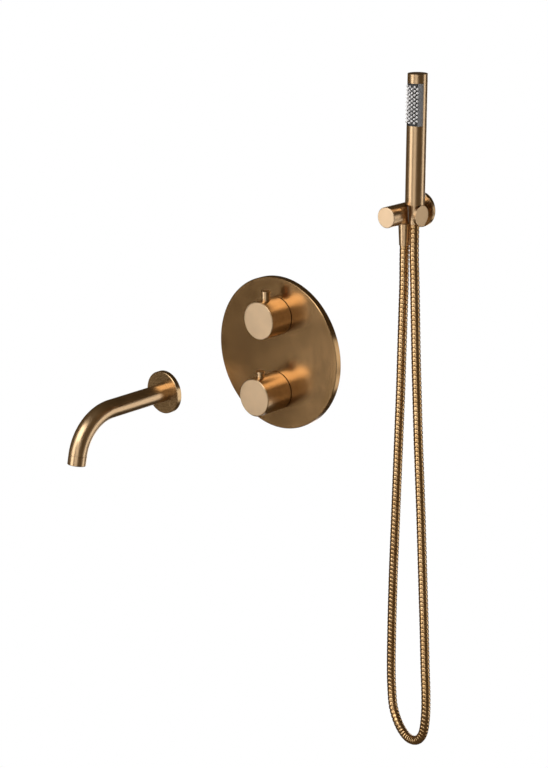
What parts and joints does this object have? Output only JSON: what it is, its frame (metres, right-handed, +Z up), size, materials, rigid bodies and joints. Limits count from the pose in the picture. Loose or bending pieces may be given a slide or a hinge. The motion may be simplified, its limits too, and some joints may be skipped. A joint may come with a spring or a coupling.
{
  "type": "wall mounted bath set",
  "caption": "Wall mounted bath set: bent round spout, round plate with two pinned knobs over a concealed thermostatic valve, and a stick hand shower in a cradle on a long hose.",
  "frame": {"origin": "centre of the round cover plate, on its wall face", "axes": "+Y into the wall, so the room is on the -Y side; +Z up; +X towards the hand shower as the user faces the wall"},
  "size_m": [0.5665, 0.2676, 0.8827],
  "materials": {
    "bronze": "brushed copper-bronze coating",
    "bronze_dark": "brushed copper-bronze coating, darker plate",
    "brass": "raw machined",
    "steel": "plain",
    "rubber": "matt",
    "white_plastic": "moulded",
    "grey_silicone": "matt",
    "ceramic": "polished ceramic",
    "hose_metal": "ribbed metal hose"
  },
  "bodies": {
    "wall_set": {"escutcheon_plate": "bronze_dark", "plate_gasket": "rubber", "valve_body": "brass", "mounting_bracket": "steel", "bracket_screws": "steel", "check_valves": "white_plastic", "inlet_strainers": "steel", "diverter_sleeve": "bronze", "thermostat_sleeve": "bronze", "sleeve_seals": "rubber", "diverter_housing": "white_plastic", "thermostat_housing": "brass", "retaining_nuts": "brass", "fixed_disc": "ceramic", "temperature_stop_ring": "white_plastic", "return_spring": "steel", "spout_tube": "bronze", "spout_flange": "bronze", "spout_nipple": "brass", "spout_seal": "rubber", "spout_screw": "steel", "aerator_shell": "bronze", "aerator_insert": "white_plastic", "aerator_washer": "rubber", "wall_rosette": "bronze", "rosette_seal": "rubber", "outlet_arm": "bronze", "arm_cap": "bronze", "arm_nipple": "brass", "cradle": "bronze", "cradle_liner": "white_plastic", "hose_nut": "bronze", "hose_washer": "rubber", "hose": "hose_metal"},
    "diverter": {"diverter_knob": "bronze", "diverter_cap": "bronze", "diverter_pin": "bronze", "diverter_screw": "steel", "diverter_adapter": "white_plastic", "diverter_spindle": "brass", "rotating_disc": "ceramic"},
    "temperature": {"temperature_knob": "bronze", "temperature_cap": "bronze", "temperature_screw": "steel", "temperature_adapter": "white_plastic", "temperature_spindle": "brass", "safety_sleeve": "bronze", "safety_spring": "steel"},
    "safety": {"safety_button": "bronze"},
    "thermostat": {"wax_element": "brass", "shuttle": "white_plastic", "pusher_nut": "brass"},
    "hose_end": {"hose_cone": "bronze"},
    "handset": {"handset_tube": "bronze", "handset_top": "bronze", "spray_panel": "grey_silicone", "spray_nozzles": "white_plastic", "handset_core": "white_plastic", "flow_restrictor": "rubber"}
  },
  "joints": [
    {"name": "diverter_turn", "type": "hinge", "parent": "wall_set", "child": "diverter", "pos_m": [0, -0.02, 0.0525], "axis": [0, -1, 0], "range_deg": [-90, 90]},
    {"name": "temperature_turn", "type": "hinge", "parent": "wall_set", "child": "temperature", "pos_m": [0, -0.02, -0.0525], "axis": [0, -1, 0], "range_deg": [-150, 75]},
    {"name": "safety_press", "type": "slide", "parent": "temperature", "child": "safety", "axis": [0, 0, -1], "range_m": [0, 0.0022], "stiffness_N_per_m": 400, "deforming": ["safety_spring"]},
    {"name": "thermostat_slide", "type": "slide", "parent": "wall_set", "child": "thermostat", "axis": [0, 1, 0], "range_m": [-0.00063, 0.00032]},
    {"name": "handset_lift", "type": "slide", "parent": "wall_set", "child": "hose_end", "axis": [0, 0, 1], "range_m": [0, 0.03]},
    {"name": "handset_swivel", "type": "hinge", "parent": "hose_end", "child": "handset", "pos_m": [0.248, -0.032, 0.25], "axis": [0, 0, 1], "continuous": true}
  ],
  "couplings": [
    {"joint": "thermostat_slide", "follows": "temperature_turn", "m_per_rad": 0.00023873}
  ]
}
